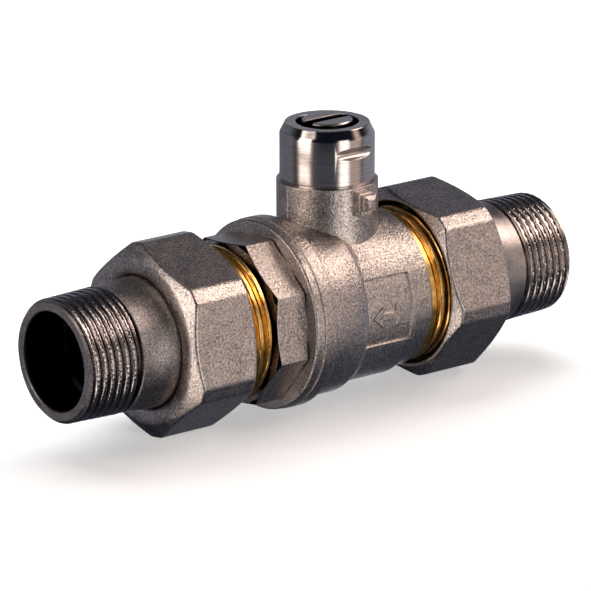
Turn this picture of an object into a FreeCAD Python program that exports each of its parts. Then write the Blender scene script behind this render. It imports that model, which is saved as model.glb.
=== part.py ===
import FreeCAD, Part
import os
import re

import Sketcher

# Motorised two-way ball valve, the valve itself: a forged body with an actuator collar on its neck,
# an end adapter screwed into its left end, and a union nut with a threaded tailpiece at each end.
# The pipe lies along X, the stem along Z, and the origin is where the two axes cross.

doc = FreeCAD.newDocument("ball_valve")
dim = doc.addObject("Spreadsheet::Sheet", "dim")

# Every driving size, in millimetres and degrees. Places along X count outward from the stem axis.
SIZES = {
    "bore_radius": 10.0,
    # Pipe tails, with a tapered 3/4 inch pipe thread
    "tail_thread_radius": 12.93,
    "tail_thread_length": 12.4,
    "tail_thread_turns": 6.45,
    "thread_crest_share": 0.25,
    "thread_depth_share": 0.64,
    "tail_taper": 0.03125,
    "tail_reach": 22.0,
    "tail_shank_radius": 13.75,
    "tail_waist_radius": 13.25,
    "tail_flare_start": 1.0,
    "tail_flare_end": 1.0,
    "tail_relief_depth": 0.75,
    "tail_relief_width": 0.9,
    "tail_end_chamfer": 0.7,
    "tail_mouth_radius": 10.42,
    "tail_mouth_depth": 10.6,
    "tail_bore_radius": 9.8,
    "tail_collar_radius": 15.0,
    "tail_collar_length": 3.6,
    # Union nuts and gaskets, on a 1 inch parallel pipe thread
    "union_thread_radius": 16.62,
    "union_thread_gap": 0.08,
    "union_end_chamfer": 1.2,
    "nut_wall": 1.98,
    "nut_corner_rise": 3.8,
    "nut_blank_allowance": 0.5,
    "nut_length": 16.2,
    "nut_shoulder": 4.0,
    "nut_hole_gap": 0.3,
    "nut_hole_chamfer": 0.5,
    "nut_face_inset": 1.3,
    "nut_mouth_step": 1.28,
    "nut_mouth_land": 0.25,
    "nut_chamfer_slope": 1.86,
    "left_nut_turn": 8.3,
    "right_nut_turn": 20.1,
    "gasket_thickness": 2.0,
    "gasket_inner_radius": 10.3,
    "gasket_inset": 0.1,
    # Outside of the body, from the joint with the adapter to the right spigot
    "joint_face": 16.6,
    "flange_inset": 0.1,
    "flange_width": 3.3,
    "band_step": 1.2,
    "band_edge": 5.0,
    "barrel_start": 2.0,
    "barrel_step": 2.5,
    "barrel_edge": 9.4,
    "spigot_collar_step": 0.38,
    "spigot_collar_edge": 14.8,
    "right_spigot_end": 25.7,
    "forging_round": 0.5,
    "collar_round": 0.3,
    "neck_round": 3.2,
    # Neck, actuator collar and the lugs that turn the actuator the right way
    "neck_radius": 10.7,
    "neck_top": 26.5,
    "undercut_depth": 0.22,
    "undercut_width": 0.45,
    "collar_radius": 10.02,
    "collar_top": 38.7,
    "collar_chamfer_radius": 1.12,
    "collar_chamfer_height": 2.2,
    "clip_groove_radius": 1.15,
    "clip_groove_centre": 10.0,
    "clip_groove_level": 33.7,
    "lug_width": 3.5,
    "lug_reach": 13.1,
    "lug_bottom": 20.8,
    "lug_top": 25.9,
    "lug_nose_reach": 14.9,
    "lug_nose_bottom": 22.2,
    "lug_nose_top": 25.6,
    "lug_chamfer": 0.4,
    "lug_nose_chamfer": 0.8,
    "lug_nose_inset": 0.2,
    "seam_height": 0.2,
    "seam_width": 0.5,
    "seam_bottom": 15.0,
    # Raised marking field on each side of the barrel, with a sunk window and a plain flow arrow
    "field_left": 5.3,
    "field_right": 9.3,
    "field_height": 0.5,
    "field_root": 0.5,
    "field_span": 74.0,
    "field_tilt": 3.5,
    "window_left": 4.0,
    "window_right": 8.2,
    "window_span": 46.0,
    "window_sink": 0.1,
    "arrow_length": 8.6,
    "arrow_middle": 2.1,
    "arrow_head": 2.6,
    "arrow_head_half": 2.3,
    "arrow_shaft_half": 0.8,
    "arrow_height": 0.45,
    # End adapter
    "plug_radius": 17.0,
    "plug_gap": 0.02,
    "plug_end_inset": 7.0,
    "adapter_flange_step": 0.2,
    "adapter_flange_width": 2.2,
    "adapter_groove_step": 0.18,
    "adapter_groove_width": 0.4,
    "octagon_wall": 0.28,
    "octagon_corner_rise": 2.8,
    "octagon_root": 1.0,
    "octagon_front": 26.9,
    "octagon_turn": 5.2,
    "octagon_chamfer_length": 0.9,
    "octagon_chamfer_inset": 1.8,
    "left_spigot_end": 39.8,
    "joint_seal_section": 1.4,
    "joint_seal_room": 1.8,
    "joint_seal_edge": 0.5,
    # Ball and its seats
    "ball_wall": 5.0,
    "cavity_gap": 0.5,
    "cavity_step": 0.2,
    "seat_clearance": 0.05,
    "seat_back_inset": 2.3,
    "seat_outer_inset": 1.0,
    "seat_bore_step": 0.3,
    "seat_gap": 0.02,
    "seat_ring_section": 1.7,
    "seat_ring_room": 2.0,
    "ball_slot_width": 5.0,
    "ball_slot_depth": 3.4,
    # Stem, its seals, bush and retaining ring
    "stem_radius": 5.8,
    "stem_gap": 0.05,
    "stem_top": 39.3,
    "stem_edge": 0.3,
    "tang_gap": 0.1,
    "tang_length": 9.0,
    "stem_flange_radius": 7.6,
    "stem_flange_gap": 0.3,
    "stem_flange_thickness": 2.0,
    "flange_room": 0.2,
    "washer_thickness": 1.0,
    "o_ring_section": 1.5,
    "o_ring_room": 2.0,
    "lower_o_ring_level": 21.2,
    "upper_o_ring_level": 25.0,
    "collar_bore_radius": 6.7,
    "bush_bottom": 28.0,
    "bush_length": 3.0,
    "ring_thickness": 0.9,
    "ring_groove_depth": 0.7,
    "ring_outer_radius": 6.5,
    "ring_gap": 0.05,
    "ring_fit": 0.02,
    "drive_slot_width": 3.0,
    "drive_slot_depth": 2.5,
    # How much smaller a sealing ring is than its room, and how far a cut runs past what it cuts
    "seal_ease": 0.01,
    "cut_room": 0.5,
}

# The pipe thread's pitch and depth, and how many whole grooves it has
TAIL_PITCH = "((tail_thread_length - tail_end_chamfer) / tail_thread_turns)"
TAIL_THREAD_DEPTH = f"{TAIL_PITCH} * thread_depth_share"
TAIL_GROOVES = 6

# The ball follows the bore, and its seats, cavity and stem and the end of the adapter follow the ball
BALL_RADIUS = "(bore_radius + ball_wall)"
CAVITY_RADIUS = f"({BALL_RADIUS} + cavity_gap)"
PLUG_END = f"({BALL_RADIUS} - plug_end_inset)"
CAVITY_RIGHT = f"({PLUG_END} + cavity_step)"
SEAT_BACK = f"({BALL_RADIUS} - seat_back_inset)"
SEAT_OUTER_RADIUS = f"({BALL_RADIUS} - seat_outer_inset)"
SEAT_INNER_RADIUS = "(bore_radius + seat_bore_step)"
BALL_SLOT_FLOOR = f"({BALL_RADIUS} - ball_slot_depth)"
STEM_FLANGE_BOTTOM = f"({BALL_RADIUS} + stem_flange_gap)"
STEM_FLANGE_TOP = f"({STEM_FLANGE_BOTTOM} + stem_flange_thickness)"

# Outside radii and widths that follow the union thread
SPIGOT_COLLAR_RADIUS = "(union_thread_radius + spigot_collar_step)"
NUT_ACROSS_FLATS = "(2 * (union_thread_radius + nut_wall))"
NUT_ACROSS_CORNERS = f"({NUT_ACROSS_FLATS} + nut_corner_rise)"
NUT_FACE_RADIUS = f"({NUT_ACROSS_FLATS} / 2 - nut_face_inset)"
NUT_MOUTH_RADIUS = "(union_thread_radius + nut_mouth_step)"
FLANGE_RADIUS = f"({NUT_ACROSS_CORNERS} / 2 - flange_inset)"
BAND_RADIUS = f"({FLANGE_RADIUS} - band_step)"
BARREL_RADIUS = f"({FLANGE_RADIUS} - barrel_step)"
ADAPTER_FLANGE_RADIUS = f"({FLANGE_RADIUS} - adapter_flange_step)"
ADAPTER_GROOVE_RADIUS = "(union_thread_radius + adapter_groove_step)"
OCTAGON_ACROSS_FLATS = "(2 * (union_thread_radius + octagon_wall))"
OCTAGON_CORNER_RADIUS = f"(({OCTAGON_ACROSS_FLATS} + octagon_corner_rise) / 2)"

for row, (alias, size) in enumerate(SIZES.items(), start=1):
    dim.set(f"A{row}", alias)
    dim.set(f"B{row}", str(size))
    dim.setAlias(f"B{row}", alias)
doc.recompute()


def bound(formula):
    """The formula with each name of a size pointed at its cell."""
    return re.sub(r"[a-z][a-z_]+", lambda word: "dim." + word[0] if word[0] in SIZES else word[0], formula)


def number(formula):
    """What a formula comes to now."""
    result = doc.dim.evalExpression(bound(formula))
    return float(getattr(result, "Value", result))


def bind(part, **formulas):
    """Ties properties to formulas; a double underscore stands for a dot."""
    for name, formula in formulas.items():
        part.setExpression(name.replace("__", "."), bound(formula))


def new_body(label):
    body = doc.addObject("PartDesign::Body", label)
    body.Label = label
    return body


def origin_plane(body, role):
    return next(plane for plane in body.Origin.OriginFeatures if plane.Role == role)


def outline(body, name, role, corners, start="0", spin="0"):
    """A closed outline of straight runs in an origin plane, each corner held by two formulas.
    It starts at a place along X and may be spun about X."""
    sketch = body.newObject("Sketcher::SketchObject", name)
    sketch.AttachmentSupport = (origin_plane(body, role), [""])
    sketch.MapMode = "FlatFace"
    sketch.AttachmentOffset = FreeCAD.Placement(
        FreeCAD.Vector(number(start), 0, 0), FreeCAD.Rotation(FreeCAD.Vector(1, 0, 0), number(spin)))
    if start != "0":
        bind(sketch, AttachmentOffset__Base__x=start)
    if spin != "0":
        bind(sketch, AttachmentOffset__Rotation__Angle=spin)
    points = [FreeCAD.Vector(number(across), number(up), 0) for across, up in corners]
    for index, point in enumerate(points):
        sketch.addGeometry(Part.LineSegment(point, points[(index + 1) % len(points)]))
    for index in range(len(points)):
        following = (index + 1) % len(points)
        sketch.addConstraint(Sketcher.Constraint("Coincident", index, 2, following, 1))
    for index, (across, up) in enumerate(corners):
        for kind, zero_axis, formula in (("DistanceX", -2, across), ("DistanceY", -1, up)):
            if formula == "0":
                sketch.addConstraint(Sketcher.Constraint("PointOnObject", index, 1, zero_axis))
            else:
                held = Sketcher.Constraint(kind, -1, 1, index, 1, number(formula))
                place = sketch.addConstraint(held)
                sketch.setExpression(f"Constraints[{place}]", bound(formula))
    return sketch


def revolve(body, name, sketch, axis, cut=False, angle=None):
    """Turns an outline about one axis of its sketch, all the way or evenly to both sides of it."""
    feature = body.newObject("PartDesign::Groove" if cut else "PartDesign::Revolution", name)
    feature.Profile = sketch
    feature.ReferenceAxis = (sketch, [axis])
    feature.Angle = 360
    if angle:
        feature.Midplane = True
        bind(feature, Angle=angle)
    doc.recompute()
    return feature


def turned(label, corners):
    """A turned piece about its own Z axis, from an outline of (radius, height) corners."""
    body = new_body(label)
    revolve(body, label + "_turning", outline(body, label + "_outline", "XZ_Plane", corners), "V_Axis")
    return body


def primitive(kind, label, **formulas):
    part = doc.addObject(kind, label)
    part.Label = label
    bind(part, **formulas)
    return part


def prism(label, sides, across, length, turn):
    """A prism about Z with a flat towards -Y, turned about Z by a formula."""
    turn = f"{turn} - 90 - 180 / {sides}"
    part = doc.addObject("Part::Prism", label)
    part.Label = label
    part.Polygon = sides
    bind(part, Circumradius=f"{across} / 2 / cos(180 / {sides})", Height=length)
    part.Placement = FreeCAD.Placement(
        FreeCAD.Vector(), FreeCAD.Rotation(FreeCAD.Vector(0, 0, 1), number(turn)))
    bind(part, Placement__Rotation__Angle=turn)
    return part


def joined(kind, label, base, tool):
    """A boolean of two parts: Part::Fuse, Part::Cut or Part::Common."""
    part = doc.addObject(kind, label)
    part.Label = label
    part.Base = base
    part.Tool = tool
    return part


def lay_along(part, side, distance):
    """Lays a part's own Z axis along the pipe, +X or -X, and moves it out by a formula."""
    part.Placement = FreeCAD.Placement(
        FreeCAD.Vector(side * number(distance), 0, 0), FreeCAD.Rotation(FreeCAD.Vector(0, 1, 0), side * 90))
    bind(part, Placement__Base__x=f"{side} * ({distance})")


def lift(part, height):
    """Moves a part up the stem axis by a formula."""
    bind(part, Placement__Base__z=height)


def soft_ring(label, middle_radius, section):
    """A round-section sealing ring about Z, with its middle in its own XY plane."""
    return primitive("Part::Torus", label, Radius1=middle_radius, Radius2=f"({section}) / 2 - seal_ease")


def dress(body, name, kind, size, wanted):
    """Rounds or chamfers the edges of the body's last feature that pass a test of their points."""
    base = body.Tip
    edges = []
    for place, edge in enumerate(base.Shape.Edges, start=1):
        points = edge.discretize(5)
        if all(wanted(point) for point in points):
            edges.append(f"Edge{place}")
    feature = body.newObject(kind, name)
    feature.Base = (base, edges)
    bind(feature, **{"Radius" if kind.endswith("Fillet") else "Size": size})
    body.Tip = feature
    doc.recompute()
    return feature


def near(first, second):
    return abs(first - second) < 0.001


def radius_about_x(point):
    return (point.y ** 2 + point.z ** 2) ** 0.5


def radius_about_z(point):
    return (point.x ** 2 + point.y ** 2) ** 0.5


def box_feature(body, kind, name, length, width, height, bottom):
    """A box in a body, centred on the stem axis, with its bottom at a height."""
    box = body.newObject(kind, name)
    bind(box, Length=length, Width=width, Height=height,
         Placement__Base__x=f"-({length}) / 2", Placement__Base__y=f"-({width}) / 2",
         Placement__Base__z=bottom)
    doc.recompute()
    return box


# Valve body: the forging first, then the machining

def forged_core(body):
    """The inner barrel and the right spigot, with the neck run into it by a fillet."""
    core = outline(body, "core_outline", "XZ_Plane", [
        ("0", "0"),
        ("0", SPIGOT_COLLAR_RADIUS),
        ("joint_face + spigot_collar_edge", SPIGOT_COLLAR_RADIUS),
        ("joint_face + spigot_collar_edge", "union_thread_radius"),
        ("joint_face + right_spigot_end - union_end_chamfer", "union_thread_radius"),
        ("joint_face + right_spigot_end", "union_thread_radius - union_end_chamfer"),
        ("joint_face + right_spigot_end", "0"),
    ], start="-joint_face")
    revolve(body, "core", core, "H_Axis")
    neck = outline(body, "neck_outline", "XZ_Plane", [
        ("0", "0"),
        ("neck_radius", "0"),
        ("neck_radius", "neck_top"),
        ("collar_radius - undercut_depth", "neck_top"),
        ("collar_radius - undercut_depth", "neck_top + undercut_width"),
        ("collar_radius", "neck_top + undercut_width"),
        ("collar_radius", "collar_top - collar_chamfer_height"),
        ("collar_radius - collar_chamfer_radius", "collar_top"),
        ("0", "collar_top"),
    ])
    revolve(body, "neck", neck, "V_Axis")
    neck_radius = number("neck_radius")
    core_radius = number(SPIGOT_COLLAR_RADIUS)
    dress(body, "neck_fillet", "PartDesign::Fillet", "neck_round",
          lambda point: near(radius_about_z(point), neck_radius)
          and near(radius_about_x(point), core_radius) and point.z > 0)


def forged_barrel(body):
    """The flange at the joint, the band behind it and the barrel, over the core."""
    barrel = outline(body, "barrel_outline", "XZ_Plane", [
        ("0", "0"),
        ("0", FLANGE_RADIUS),
        ("flange_width", FLANGE_RADIUS),
        ("flange_width", BAND_RADIUS),
        ("joint_face - band_edge", BAND_RADIUS),
        ("joint_face - barrel_start", BARREL_RADIUS),
        ("joint_face + barrel_edge", BARREL_RADIUS),
        ("joint_face + barrel_edge", "0"),
    ], start="-joint_face")
    revolve(body, "barrel", barrel, "H_Axis")
    flange_edge = number("flange_width - joint_face")
    flange_radius = number(FLANGE_RADIUS)
    dress(body, "flange_round", "PartDesign::Fillet", "forging_round",
          lambda point: near(point.x, flange_edge) and near(radius_about_x(point), flange_radius))
    collar_edge = number("spigot_collar_edge")
    collar_radius = number(SPIGOT_COLLAR_RADIUS)
    dress(body, "spigot_collar_round", "PartDesign::Fillet", "collar_round",
          lambda point: near(point.x, collar_edge) and near(radius_about_x(point), collar_radius))


def lugs(body):
    box_feature(body, "PartDesign::AdditiveBox", "lug_blocks",
                "lug_width", "2 * lug_reach", "lug_top - lug_bottom", "lug_bottom")
    reach = number("lug_reach")
    dress(body, "lug_block_chamfers", "PartDesign::Chamfer", "lug_chamfer",
          lambda point: near(abs(point.y), reach))
    box_feature(body, "PartDesign::AdditiveBox", "lug_noses",
                "lug_width - lug_nose_inset", "2 * lug_nose_reach", "lug_nose_top - lug_nose_bottom",
                "lug_nose_bottom")
    nose = number("lug_nose_reach")
    dress(body, "lug_nose_chamfers", "PartDesign::Chamfer", "lug_nose_chamfer",
          lambda point: near(abs(point.y), nose))
    box_feature(body, "PartDesign::AdditiveBox", "forging_seam",
                "2 * (neck_radius + seam_height)", "seam_width", "neck_top - seam_bottom", "seam_bottom")


def marking_field(body, name, spin):
    """A raised field on one side of the barrel, with a window and a two-headed flow arrow in it."""
    field = outline(body, name + "_outline", "XY_Plane", [
        ("0", f"{BARREL_RADIUS} - field_root"),
        ("0", f"{BARREL_RADIUS} + field_height"),
        ("field_left + field_right", f"{BARREL_RADIUS} + field_height"),
        ("field_left + field_right", f"{BARREL_RADIUS} - field_root"),
    ], start="-field_left", spin=spin)
    revolve(body, name, field, "H_Axis", angle="field_span")
    window = outline(body, name + "_window_outline", "XY_Plane", [
        ("0", f"{BARREL_RADIUS} + window_sink"),
        ("0", f"{BARREL_RADIUS} + field_height + cut_room"),
        ("window_left + window_right", f"{BARREL_RADIUS} + field_height + cut_room"),
        ("window_left + window_right", f"{BARREL_RADIUS} + window_sink"),
    ], start="-window_left", spin=spin)
    revolve(body, name + "_window", window, "H_Axis", cut=True, angle="window_span")


def flow_arrows(body):
    """Raised arrows in both windows, one block right through the barrel before it is bored."""
    half = "arrow_length / 2"
    arrow = outline(body, "arrow_outline", "XZ_Plane", [
        ("0", BARREL_RADIUS),
        ("arrow_head", f"{BARREL_RADIUS} - arrow_head_half"),
        ("arrow_head", f"{BARREL_RADIUS} - arrow_shaft_half"),
        ("arrow_length - arrow_head", f"{BARREL_RADIUS} - arrow_shaft_half"),
        ("arrow_length - arrow_head", f"{BARREL_RADIUS} - arrow_head_half"),
        ("arrow_length", BARREL_RADIUS),
        ("arrow_length - arrow_head", f"{BARREL_RADIUS} + arrow_head_half"),
        ("arrow_length - arrow_head", f"{BARREL_RADIUS} + arrow_shaft_half"),
        ("arrow_head", f"{BARREL_RADIUS} + arrow_shaft_half"),
        ("arrow_head", f"{BARREL_RADIUS} + arrow_head_half"),
    ])
    bind(arrow, AttachmentOffset__Base__x=f"arrow_middle - {half}",
         AttachmentOffset__Base__y=f"-{BARREL_RADIUS}")
    pad = body.newObject("PartDesign::Pad", "flow_arrows")
    pad.Profile = arrow
    pad.Midplane = True
    bind(pad, Length=f"2 * ({BARREL_RADIUS} + arrow_height)")
    doc.recompute()


def machined_bores(body):
    """The socket for the adapter, the ball's cavity, the right seat's pocket, the flow bore, and the
    stem's bores from the ball to the top of the collar."""
    flow = outline(body, "flow_outline", "XZ_Plane", [
        ("0", "0"),
        ("0", "plug_radius + plug_gap"),
        (f"joint_face - {PLUG_END}", "plug_radius + plug_gap"),
        (f"joint_face - {PLUG_END}", CAVITY_RADIUS),
        (f"joint_face + {CAVITY_RIGHT}", CAVITY_RADIUS),
        (f"joint_face + {CAVITY_RIGHT}", SEAT_OUTER_RADIUS),
        (f"joint_face + {SEAT_BACK}", SEAT_OUTER_RADIUS),
        (f"joint_face + {SEAT_BACK}", "bore_radius"),
        ("joint_face + right_spigot_end", "bore_radius"),
        ("joint_face + right_spigot_end", "0"),
    ], start="-joint_face")
    revolve(body, "flow_bores", flow, "H_Axis", cut=True)
    stem = outline(body, "stem_bores_outline", "XZ_Plane", [
        ("0", "0"),
        ("stem_flange_radius + flange_room", "0"),
        ("stem_flange_radius + flange_room", f"{STEM_FLANGE_TOP} + washer_thickness + stem_gap"),
        ("stem_radius + stem_gap", f"{STEM_FLANGE_TOP} + washer_thickness + stem_gap"),
        ("stem_radius + stem_gap", "bush_bottom"),
        ("collar_bore_radius", "bush_bottom"),
        ("collar_bore_radius", "collar_top"),
        ("0", "collar_top"),
    ])
    revolve(body, "stem_bores", stem, "V_Axis", cut=True)


def clip_grooves(body):
    """Two round-bottomed grooves across the collar, for the legs of the actuator's spring clip."""
    for name, side in (("front_clip_groove", -1), ("rear_clip_groove", 1)):
        groove = body.newObject("PartDesign::SubtractiveCylinder", name)
        groove.Placement.Rotation = FreeCAD.Rotation(FreeCAD.Vector(0, 1, 0), 90)
        bind(groove, Radius="clip_groove_radius", Height="2 * collar_radius",
             Placement__Base__x="-collar_radius", Placement__Base__y=f"{side} * clip_groove_centre",
             Placement__Base__z="clip_groove_level")
        doc.recompute()


def make_valve_body():
    body = new_body("valve_body")
    forged_core(body)
    forged_barrel(body)
    marking_field(body, "front_field", "180 - field_tilt")
    marking_field(body, "rear_field", "field_tilt")
    flow_arrows(body)
    lugs(body)
    machined_bores(body)
    clip_grooves(body)
    return body


# End adapter: a plug that screws into the body, a flange, an octagon and a union spigot

def make_end_adapter():
    """Turned about Z from the inner end of the plug, with the octagon added."""
    seal_inner = "plug_radius - joint_seal_section"
    seal_top = f"joint_face - {PLUG_END} - joint_seal_edge"
    flange_end = f"joint_face - {PLUG_END} + adapter_flange_width"
    octagon_start = f"{flange_end} + adapter_groove_width"
    octagon_end = f"octagon_front - {PLUG_END}"
    spigot_end = f"left_spigot_end - {PLUG_END}"
    turning = turned("end_adapter_turning", [
        (SEAT_OUTER_RADIUS, "0"),
        ("plug_radius", "0"),
        ("plug_radius", f"{seal_top} - joint_seal_room"),
        (seal_inner, f"{seal_top} - joint_seal_room"),
        (seal_inner, seal_top),
        ("plug_radius", seal_top),
        ("plug_radius", f"joint_face - {PLUG_END}"),
        (ADAPTER_FLANGE_RADIUS, f"joint_face - {PLUG_END}"),
        (ADAPTER_FLANGE_RADIUS, flange_end),
        (ADAPTER_GROOVE_RADIUS, flange_end),
        (ADAPTER_GROOVE_RADIUS, octagon_start),
        ("union_thread_radius", octagon_start),
        ("union_thread_radius", f"{spigot_end} - union_end_chamfer"),
        ("union_thread_radius - union_end_chamfer", spigot_end),
        ("bore_radius", spigot_end),
        ("bore_radius", f"{SEAT_BACK} - {PLUG_END}"),
        (SEAT_OUTER_RADIUS, f"{SEAT_BACK} - {PLUG_END}"),
    ])
    flange_radius = number(ADAPTER_FLANGE_RADIUS)
    flange_edge = number(flange_end)
    dress(turning, "adapter_flange_round", "PartDesign::Fillet", "forging_round",
          lambda point: near(radius_about_z(point), flange_radius) and near(point.z, flange_edge))
    flats = prism("end_adapter_flats", 8, OCTAGON_ACROSS_FLATS, spigot_end, "octagon_turn")
    disc = turned("end_adapter_disc", [
        ("union_thread_radius - octagon_root", octagon_start),
        (OCTAGON_CORNER_RADIUS, octagon_start),
        (OCTAGON_CORNER_RADIUS, f"{octagon_end} - octagon_chamfer_length"),
        (f"{OCTAGON_CORNER_RADIUS} - octagon_chamfer_inset", octagon_end),
        ("union_thread_radius - octagon_root", octagon_end),
    ])
    octagon = joined("Part::Common", "end_adapter_octagon", disc, flats)
    adapter = joined("Part::Fuse", "end_adapter", turning, octagon)
    lay_along(adapter, -1, PLUG_END)
    return adapter


def make_body_joint_seal():
    seal = soft_ring("body_joint_seal", "plug_radius - joint_seal_section / 2", "joint_seal_section")
    lay_along(seal, -1, "joint_face - joint_seal_edge - joint_seal_room / 2")
    return seal


# Ball, seats and the rings behind them

def make_ball():
    sphere = primitive("Part::Sphere", "ball_blank", Radius=BALL_RADIUS)
    bore = primitive("Part::Cylinder", "ball_bore", Radius="bore_radius", Height=f"2 * {BALL_RADIUS}")
    bore.Placement.Rotation = FreeCAD.Rotation(FreeCAD.Vector(0, 1, 0), 90)
    bind(bore, Placement__Base__x=f"-{BALL_RADIUS}")
    bored = joined("Part::Cut", "ball_bored", sphere, bore)
    slot = primitive("Part::Box", "ball_slot", Length="ball_slot_width", Width=f"2 * {BALL_RADIUS}",
                     Height=BALL_RADIUS, Placement__Base__x="-ball_slot_width / 2",
                     Placement__Base__y=f"-{BALL_RADIUS}", Placement__Base__z=BALL_SLOT_FLOOR)
    return joined("Part::Cut", "ball", bored, slot)


def make_seat(label, side):
    """A seat ring about Z from its back face, hollowed to the ball on its front."""
    step_radius = f"{SEAT_OUTER_RADIUS} - seat_ring_section"
    front = f"{SEAT_BACK} - {PLUG_END}"
    ring = turned(label + "_ring", [
        (SEAT_INNER_RADIUS, "0"),
        (step_radius, "0"),
        (step_radius, "seat_ring_room"),
        (f"{SEAT_OUTER_RADIUS} - seat_gap", "seat_ring_room"),
        (f"{SEAT_OUTER_RADIUS} - seat_gap", front),
        (SEAT_INNER_RADIUS, front),
    ])
    ball_room = primitive("Part::Sphere", label + "_ball_room", Radius=f"{BALL_RADIUS} + seat_clearance")
    lift(ball_room, SEAT_BACK)
    seat = joined("Part::Cut", label, ring, ball_room)
    lay_along(seat, -side, f"-{SEAT_BACK}")
    return seat


def make_seat_o_ring(label, side):
    ring = soft_ring(label, f"{SEAT_OUTER_RADIUS} - seat_ring_section / 2", "seat_ring_section")
    lay_along(ring, side, f"{SEAT_BACK} - seat_ring_section / 2")
    return ring


# Stem with its thrust washer, seals, guide bush and retaining ring

def groove_corners(middle, room, floor_radius, radius):
    """The four corners of a square groove round the stem, from the bottom up."""
    low = f"{middle} - {room} / 2"
    high = f"{middle} + {room} / 2"
    return [(radius, low), (floor_radius, low), (floor_radius, high), (radius, high)]


def make_stem():
    seal_floor = "stem_radius + stem_gap - o_ring_section"
    ring_middle = "bush_bottom + bush_length + ring_gap + ring_thickness / 2"
    corners = [("0", STEM_FLANGE_BOTTOM), ("stem_flange_radius", STEM_FLANGE_BOTTOM),
               ("stem_flange_radius", STEM_FLANGE_TOP), ("stem_radius", STEM_FLANGE_TOP)]
    corners += groove_corners("lower_o_ring_level", "o_ring_room", seal_floor, "stem_radius")
    corners += groove_corners("upper_o_ring_level", "o_ring_room", seal_floor, "stem_radius")
    corners += groove_corners(ring_middle, "(ring_thickness + 2 * ring_gap)",
                              "stem_radius - ring_groove_depth", "stem_radius")
    corners += [("stem_radius", "stem_top - stem_edge"), ("stem_radius - stem_edge", "stem_top"),
                ("0", "stem_top")]
    stem = turned("stem", corners)
    tang_bottom = f"({BALL_SLOT_FLOOR} + 2 * tang_gap)"
    box_feature(stem, "PartDesign::AdditiveBox", "stem_tang", "ball_slot_width - 2 * tang_gap",
                "tang_length", f"{STEM_FLANGE_TOP} - {tang_bottom}", tang_bottom)
    box_feature(stem, "PartDesign::SubtractiveBox", "stem_drive_slot", "2 * (stem_radius + cut_room)",
                "drive_slot_width", "drive_slot_depth + cut_room", "stem_top - drive_slot_depth")
    return stem


def make_tube(label, inner, outer, height, bottom):
    """A plain ring about the stem axis."""
    tube = turned(label, [(inner, "0"), (outer, "0"), (outer, height), (inner, height)])
    lift(tube, bottom)
    return tube


def make_stem_o_ring(label, level):
    ring = soft_ring(label, "stem_radius + stem_gap - o_ring_section / 2", "o_ring_section - stem_gap")
    lift(ring, level)
    return ring


# Unions: nut, gasket and tailpiece, alike at both ends

SPIGOT_ENDS = {"left": "left_spigot_end", "right": "right_spigot_end"}


def make_union_nut(name, side):
    """Turned about Z from its outer face, then cut to a hexagon whose corners are flattened."""
    label = name + "_union_nut"
    top_radius = f"({NUT_ACROSS_CORNERS} / 2 + nut_blank_allowance)"
    hole = "tail_shank_radius + nut_hole_gap"
    thread = "union_thread_radius + union_thread_gap"
    rim = f"({NUT_MOUTH_RADIUS} + nut_mouth_land)"
    blank = turned(label + "_blank", [
        (f"{hole} + nut_hole_chamfer", "0"),
        (NUT_FACE_RADIUS, "0"),
        (top_radius, f"({top_radius} - {NUT_FACE_RADIUS}) / nut_chamfer_slope"),
        (top_radius, f"nut_length - ({top_radius} - {rim}) / nut_chamfer_slope"),
        (rim, "nut_length"),
        (NUT_MOUTH_RADIUS, "nut_length"),
        (thread, f"nut_length - ({NUT_MOUTH_RADIUS} - ({thread}))"),
        (thread, "nut_shoulder"),
        (hole, "nut_shoulder"),
        (hole, "nut_hole_chamfer"),
    ])
    turn = "-left_nut_turn" if side < 0 else "right_nut_turn"
    flats = prism(label + "_flats", 6, NUT_ACROSS_FLATS, "nut_length", turn)
    corners = prism(label + "_corners", 6, NUT_ACROSS_CORNERS, "nut_length", f"{turn} + 30")
    hexagon = joined("Part::Common", label + "_hexagon", flats, corners)
    nut = joined("Part::Common", label, blank, hexagon)
    lay_along(nut, -side, f"-({SPIGOT_ENDS[name]} + gasket_thickness + tail_collar_length + nut_shoulder)")
    return nut


def thread_grooves(end):
    """Corners of the ring grooves that form a pipe thread, from its large end out to its free end."""
    corners = []
    for groove in range(TAIL_GROOVES):
        for turns, depth in ((f"({groove} + thread_crest_share)", "0"),
                             (f"({groove} + (1 + thread_crest_share) / 2)", TAIL_THREAD_DEPTH),
                             (f"({groove} + 1)", "0")):
            to_end = f"(tail_thread_length - {turns} * {TAIL_PITCH})"
            corners.append((f"tail_thread_radius + {to_end} * tail_taper - {depth}", f"{end} - {to_end}"))
    return corners


def make_tailpiece(name, side):
    """Turned about Z from the gasket face of its collar out to the free end of its pipe thread."""
    nut_face = "tail_collar_length + nut_shoulder"
    end = f"{nut_face} + tail_reach"
    thread_start = f"{end} - tail_thread_length"
    large = "tail_thread_radius + tail_thread_length * tail_taper"
    tail = turned(name + "_tailpiece", [
        ("tail_bore_radius", "0"),
        ("tail_collar_radius", "0"),
        ("tail_collar_radius", "tail_collar_length"),
        ("tail_shank_radius", "tail_collar_length"),
        ("tail_shank_radius", f"{nut_face} + tail_flare_start"),
        ("tail_waist_radius", f"{thread_start} - tail_relief_width - tail_flare_end"),
        ("tail_waist_radius", f"{thread_start} - tail_relief_width"),
        ("tail_waist_radius - tail_relief_depth", f"{thread_start} - tail_relief_width / 2"),
        ("tail_waist_radius - tail_relief_depth", thread_start),
        (large, thread_start),
        *thread_grooves(end),
        ("tail_thread_radius + tail_end_chamfer * tail_taper", f"{end} - tail_end_chamfer"),
        ("tail_thread_radius - tail_end_chamfer", end),
        ("tail_mouth_radius", end),
        ("tail_mouth_radius", f"{end} - tail_mouth_depth"),
        ("tail_bore_radius", f"{end} - tail_mouth_depth"),
    ])
    lay_along(tail, side, f"{SPIGOT_ENDS[name]} + gasket_thickness")
    return tail


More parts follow.
